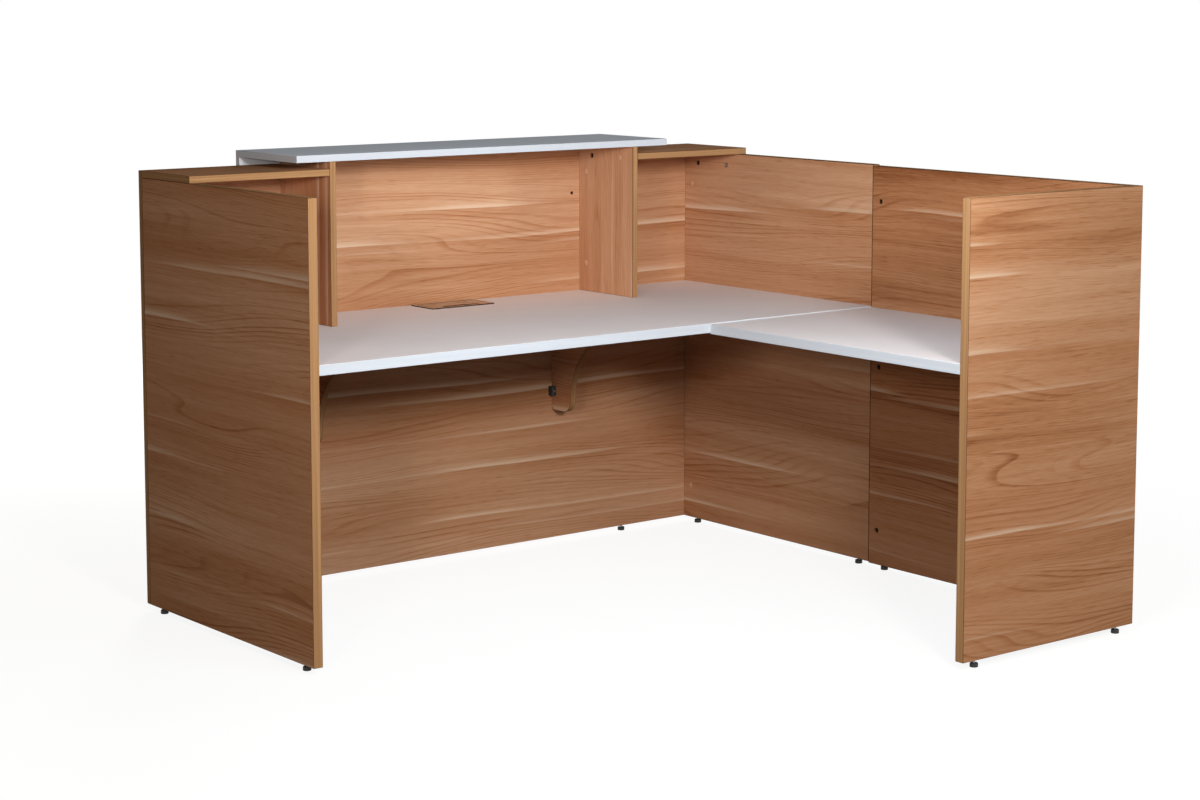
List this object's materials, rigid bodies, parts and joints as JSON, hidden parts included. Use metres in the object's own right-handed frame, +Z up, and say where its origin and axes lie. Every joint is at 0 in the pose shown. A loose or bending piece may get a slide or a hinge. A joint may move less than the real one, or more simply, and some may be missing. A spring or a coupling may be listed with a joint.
{
  "type": "reception desk",
  "caption": "L-shaped reception desk of walnut-look boards with white worktops, a raised visitor counter, side ledges, a hinged cable flap and levelling feet.",
  "frame": {"origin": "middle of the floor area, on the floor", "axes": "+X along the front panel to the side with the return, +Y to the visitors, +Z up"},
  "size_m": [1.8, 1.736, 1.158],
  "materials": {
    "walnut_board": "satin laminate",
    "white_board": "satin laminate",
    "flap_metal": "polished",
    "black_plastic": "moulded",
    "fitting_steel": "zinc plated"
  },
  "bodies": {
    "desk": {"front_panel": "walnut_board", "left_side_panel": "walnut_board", "corner_side_panel": "walnut_board", "return_side_panel": "walnut_board", "return_end_panel": "walnut_board", "left_ledge": "walnut_board", "right_ledge": "walnut_board", "left_divider": "walnut_board", "right_divider": "walnut_board", "worktop_bracket_left": "walnut_board", "worktop_bracket_right": "walnut_board", "fascia_batten_left": "walnut_board", "fascia_batten_right": "walnut_board", "main_worktop": "white_board", "return_worktop": "white_board", "transaction_counter": "white_board", "front_fascia": "white_board", "cable_flap_frame": "flap_metal", "panel_block_left": "black_plastic", "panel_block_right": "black_plastic", "worktop_block_left": "black_plastic", "worktop_block_right": "black_plastic", "joining_plate_left": "fitting_steel", "joining_plate_right": "fitting_steel", "foot_insert_left_side_staff": "fitting_steel", "foot_insert_left_side_panel": "fitting_steel", "foot_insert_front_left": "fitting_steel", "foot_insert_front_right": "fitting_steel", "foot_insert_corner_side_panel": "fitting_steel", "foot_insert_corner_side_seam": "fitting_steel", "foot_insert_return_side_seam": "fitting_steel", "foot_insert_return_side_end": "fitting_steel", "foot_insert_return_end_left": "fitting_steel", "foot_insert_return_end_right": "fitting_steel"},
    "cable_lid": {"cable_flap_lid": "flap_metal", "cable_flap_pivot_left": "fitting_steel", "cable_flap_pivot_right": "fitting_steel"},
    "foot_left_side_staff": {"foot_pad_left_side_staff": "black_plastic", "foot_stud_left_side_staff": "fitting_steel"},
    "foot_left_side_panel": {"foot_pad_left_side_panel": "black_plastic", "foot_stud_left_side_panel": "fitting_steel"},
    "foot_front_left": {"foot_pad_front_left": "black_plastic", "foot_stud_front_left": "fitting_steel"},
    "foot_front_right": {"foot_pad_front_right": "black_plastic", "foot_stud_front_right": "fitting_steel"},
    "foot_corner_side_panel": {"foot_pad_corner_side_panel": "black_plastic", "foot_stud_corner_side_panel": "fitting_steel"},
    "foot_corner_side_seam": {"foot_pad_corner_side_seam": "black_plastic", "foot_stud_corner_side_seam": "fitting_steel"},
    "foot_return_side_seam": {"foot_pad_return_side_seam": "black_plastic", "foot_stud_return_side_seam": "fitting_steel"},
    "foot_return_side_end": {"foot_pad_return_side_end": "black_plastic", "foot_stud_return_side_end": "fitting_steel"},
    "foot_return_end_left": {"foot_pad_return_end_left": "black_plastic", "foot_stud_return_end_left": "fitting_steel"},
    "foot_return_end_right": {"foot_pad_return_end_right": "black_plastic", "foot_stud_return_end_right": "fitting_steel"}
  },
  "joints": [
    {"name": "cable_lid_hinge", "type": "hinge", "parent": "desk", "child": "cable_lid", "pos_m": [0, 0.7905, 0.72], "axis": [-1, 0, 0], "range_deg": [0, 95]},
    {"name": "foot_left_side_staff_level", "type": "slide", "parent": "desk", "child": "foot_left_side_staff", "axis": [0, 0, 1], "range_m": [-0.012, 0.005]},
    {"name": "foot_left_side_panel_level", "type": "slide", "parent": "desk", "child": "foot_left_side_panel", "axis": [0, 0, 1], "range_m": [-0.012, 0.005]},
    {"name": "foot_front_left_level", "type": "slide", "parent": "desk", "child": "foot_front_left", "axis": [0, 0, 1], "range_m": [-0.012, 0.005]},
    {"name": "foot_front_right_level", "type": "slide", "parent": "desk", "child": "foot_front_right", "axis": [0, 0, 1], "range_m": [-0.012, 0.005]},
    {"name": "foot_corner_side_panel_level", "type": "slide", "parent": "desk", "child": "foot_corner_side_panel", "axis": [0, 0, 1], "range_m": [-0.012, 0.005]},
    {"name": "foot_corner_side_seam_level", "type": "slide", "parent": "desk", "child": "foot_corner_side_seam", "axis": [0, 0, 1], "range_m": [-0.012, 0.005]},
    {"name": "foot_return_side_seam_level", "type": "slide", "parent": "desk", "child": "foot_return_side_seam", "axis": [0, 0, 1], "range_m": [-0.012, 0.002]},
    {"name": "foot_return_side_end_level", "type": "slide", "parent": "desk", "child": "foot_return_side_end", "axis": [0, 0, 1], "range_m": [-0.012, 0.002]},
    {"name": "foot_return_end_left_level", "type": "slide", "parent": "desk", "child": "foot_return_end_left", "axis": [0, 0, 1], "range_m": [-0.012, 0.008]},
    {"name": "foot_return_end_right_level", "type": "slide", "parent": "desk", "child": "foot_return_end_right", "axis": [0, 0, 1], "range_m": [-0.012, 0.008]}
  ]
}
